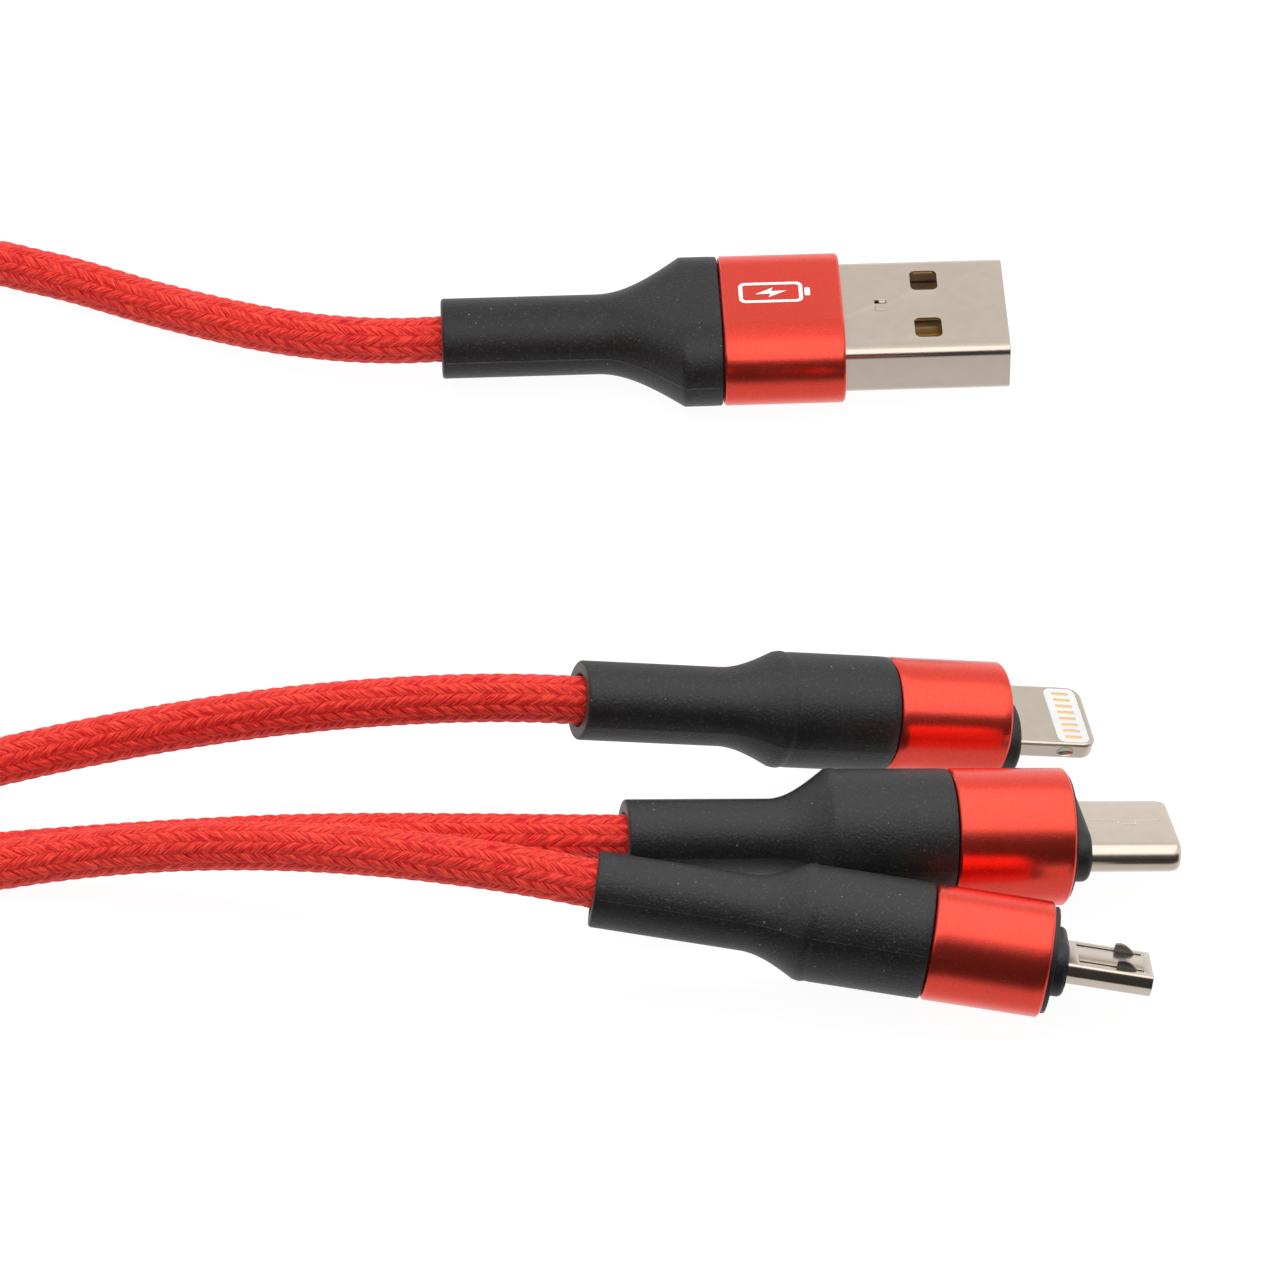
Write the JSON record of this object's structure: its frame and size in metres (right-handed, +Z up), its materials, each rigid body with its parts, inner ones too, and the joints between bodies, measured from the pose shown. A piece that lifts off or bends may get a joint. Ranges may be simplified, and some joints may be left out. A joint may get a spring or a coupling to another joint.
{
  "type": "charging cable",
  "caption": "Braided charging cable with a type-A host plug at one end and, past a splitter, eight-pin, type-C and micro type-B device plugs in black boots and red metal sleeves.",
  "frame": {"origin": "on the table, under the middle of the plugs' and the splitter's bounding box, leaving out the cords", "axes": "+X from the splitter towards the plugs' tips, along which the host plug goes into its socket; +Y towards the host plug's side; +Z up, out of the host plug's wide face"},
  "size_m": [0.1924, 0.0994, 0.0151],
  "materials": {
    "nickel": "nickel plated, satin",
    "crimp_steel": "plain",
    "red_anodised": "red anodised, fine satin",
    "boot_rubber": "matte moulded",
    "nylon_braid": "red braided nylon",
    "contact_gold": "gold plated",
    "white_insert": "white, smooth",
    "black_plastic": "black moulded",
    "board": "green circuit board",
    "strap": "black hook-and-loop strap",
    "spring_steel": "dark spring steel"
  },
  "bodies": {
    "cable": {"type_a_shell": "nickel", "type_a_tongue": "black_plastic", "type_a_contact_1": "contact_gold", "type_a_contact_2": "contact_gold", "type_a_contact_3": "contact_gold", "type_a_contact_4": "contact_gold", "type_a_core": "black_plastic", "type_a_sleeve": "red_anodised", "type_a_boot": "boot_rubber", "type_a_crimp": "crimp_steel", "eight_pin_tab": "nickel", "eight_pin_board": "contact_gold", "eight_pin_insert_top": "white_insert", "eight_pin_insert_bottom": "white_insert", "eight_pin_nose": "black_plastic", "eight_pin_sleeve": "red_anodised", "eight_pin_boot": "boot_rubber", "eight_pin_crimp": "crimp_steel", "type_c_shell": "nickel", "type_c_insulator": "black_plastic", "type_c_board": "board", "type_c_contacts_upper": "contact_gold", "type_c_contacts_lower": "contact_gold", "type_c_nose": "black_plastic", "type_c_sleeve": "red_anodised", "type_c_boot": "boot_rubber", "type_c_crimp": "crimp_steel", "micro_shell": "nickel", "micro_insulator": "black_plastic", "micro_contact_1": "contact_gold", "micro_contact_2": "contact_gold", "micro_contact_3": "contact_gold", "micro_contact_4": "contact_gold", "micro_contact_5": "contact_gold", "micro_nose": "black_plastic", "micro_sleeve": "red_anodised", "micro_boot": "boot_rubber", "micro_crimp": "crimp_steel", "splitter_sleeve": "red_anodised", "splitter_core": "black_plastic", "splitter_inlet_boot": "boot_rubber", "splitter_outlet_cap": "boot_rubber", "main_cord": "nylon_braid", "main_cord_coil": "nylon_braid", "main_cord_tail": "nylon_braid", "eight_pin_cord": "nylon_braid", "type_c_cord": "nylon_braid", "micro_cord": "nylon_braid", "coil_tie": "strap"},
    "type_c_left_latch": {"type_c_latch_left": "spring_steel"},
    "type_c_right_latch": {"type_c_latch_right": "spring_steel"},
    "micro_left_hook": {"micro_latch_left": "spring_steel"},
    "micro_right_hook": {"micro_latch_right": "spring_steel"}
  },
  "joints": [
    {"name": "type_c_left_latch_flex", "type": "hinge", "parent": "cable", "child": "type_c_left_latch", "pos_m": [0.07631, -0.02395, 0.00474], "axis": [0.0927, 0.1963, 0.9761], "range_deg": [0, 1.6], "stiffness_Nm_per_rad": 0.5},
    {"name": "type_c_right_latch_flex", "type": "hinge", "parent": "cable", "child": "type_c_right_latch", "pos_m": [0.07701, -0.03035, 0.00596], "axis": [-0.0927, -0.1963, -0.9761], "range_deg": [0, 1.6], "stiffness_Nm_per_rad": 0.5},
    {"name": "micro_left_hook_flex", "type": "hinge", "parent": "cable", "child": "micro_left_hook", "pos_m": [0.07453, -0.03806, 0.0043], "axis": [0.0348, 0.8944, -0.4459], "range_deg": [0, 5.5], "stiffness_Nm_per_rad": 0.1},
    {"name": "micro_right_hook_flex", "type": "hinge", "parent": "cable", "child": "micro_right_hook", "pos_m": [0.07438, -0.042, 0.00626], "axis": [0.0348, 0.8944, -0.4459], "range_deg": [0, 5.5], "stiffness_Nm_per_rad": 0.1}
  ]
}
